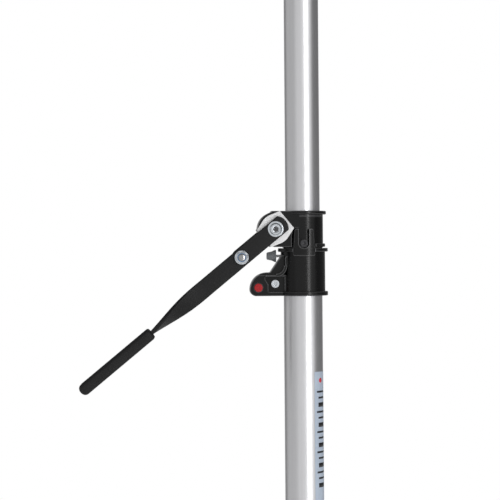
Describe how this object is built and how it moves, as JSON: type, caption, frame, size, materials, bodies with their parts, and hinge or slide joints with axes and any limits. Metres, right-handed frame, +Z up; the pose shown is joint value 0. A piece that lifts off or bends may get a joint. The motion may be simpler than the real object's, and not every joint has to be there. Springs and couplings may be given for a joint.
{
  "type": "telescoping tension pole",
  "caption": "Floor-to-ceiling telescoping tension pole: two sliding tubes, a two-part collar with a cam lever that jacks and locks the upper tube, and rubber end feet.",
  "frame": {"origin": "centre of the floor foot's underside, on the pole's axis", "axes": "+Z up the pole, -X towards the lever and the lower collar's toe, -Y towards the side with the lever bar, grip and red button"},
  "size_m": [0.2933, 0.0841, 1.2571],
  "materials": {
    "rubber_black": "matt moulded rubber",
    "plug_plastic": "matt",
    "anodised_tube": "satin clear anodised, drawn lengthwise",
    "label_film": "satin printed film",
    "black_casting": "satin black coating on a die casting",
    "white_nylon": "satin nylon",
    "zinc_steel": "bright zinc plate",
    "dark_steel": "black oxide",
    "red_plastic": "semi-gloss",
    "grey_plastic": "satin, ribbed",
    "cast_grey": "machined",
    "brake_lining": "matt friction lining",
    "black_bar": "matt black powder coat",
    "grip_vinyl": "matt grained"
  },
  "bodies": {
    "lower_assembly": {"floor_foot": "rubber_black", "floor_plug": "plug_plastic", "outer_tube": "anodised_tube", "tube_label": "label_film", "lower_collar": "black_casting", "lower_bush": "white_nylon", "clamp_screw": "zinc_steel", "clamp_nut": "zinc_steel", "button_spring": "zinc_steel", "drag_pad": "white_nylon"},
    "upper_assembly": {"upper_collar": "black_casting", "upper_bush": "white_nylon", "upper_wiper": "rubber_black", "guide_screws": "dark_steel"},
    "lever": {"brake_cam": "cast_grey", "pivot_axle": "zinc_steel", "pivot_screws": "zinc_steel", "side_plates": "white_nylon", "lever_bar": "black_bar", "far_arm": "black_bar", "lever_grip": "grip_vinyl", "roller_bolts": "zinc_steel", "roller_washers": "zinc_steel", "roller_nuts": "zinc_steel"},
    "roller_near": {"near_roller": "white_nylon"},
    "roller_far": {"far_roller": "white_nylon"},
    "brake": {"brake_shoe": "cast_grey", "brake_pad": "brake_lining"},
    "upper_pole": {"inner_tube": "anodised_tube", "glide_bush": "white_nylon", "ceiling_plug": "plug_plastic", "ceiling_foot": "rubber_black"},
    "button": {"safety_button": "red_plastic", "button_clip": "dark_steel"},
    "drag_screw": {"drag_knob": "grey_plastic", "drag_stud": "white_nylon"}
  },
  "joints": [
    {"name": "collar_lift", "type": "slide", "parent": "lower_assembly", "child": "upper_assembly", "axis": [0, 0, 1], "range_m": [0, 0.0085]},
    {"name": "lever_swing", "type": "hinge", "parent": "upper_assembly", "child": "lever", "pos_m": [-0.0328, 0, 0.9219], "axis": [0, -1, 0], "range_deg": [0, 51.5]},
    {"name": "near_roller_spin", "type": "hinge", "parent": "lever", "child": "roller_near", "pos_m": [-0.07192, -0.0205, 0.88965], "axis": [0, 1, 0], "continuous": true},
    {"name": "far_roller_spin", "type": "hinge", "parent": "lever", "child": "roller_far", "pos_m": [-0.07192, 0.0205, 0.88965], "axis": [0, 1, 0], "continuous": true},
    {"name": "brake_press", "type": "slide", "parent": "upper_assembly", "child": "brake", "axis": [1, 0, 0], "range_m": [0, 0.00092]},
    {"name": "tube_slide", "type": "slide", "parent": "upper_assembly", "child": "upper_pole", "axis": [0, 0, 1], "range_m": [-0.265, 0.455]},
    {"name": "button_press", "type": "slide", "parent": "lower_assembly", "child": "button", "axis": [0, 1, 0], "range_m": [0, 0.003], "stiffness_N_per_m": 400, "springref_m": -0.003, "deforming": ["button_spring"]},
    {"name": "drag_screw_turn", "type": "hinge", "parent": "lower_assembly", "child": "drag_screw", "pos_m": [-0.036, 0, 0.891], "axis": [1, 0, 0], "range_deg": [-180, 180]}
  ],
  "couplings": [
    {"joint": "collar_lift", "follows": "lever_swing", "m_per_rad": 0.0093453},
    {"joint": "brake_press", "follows": "lever_swing", "m_per_rad": 0.0010013}
  ]
}
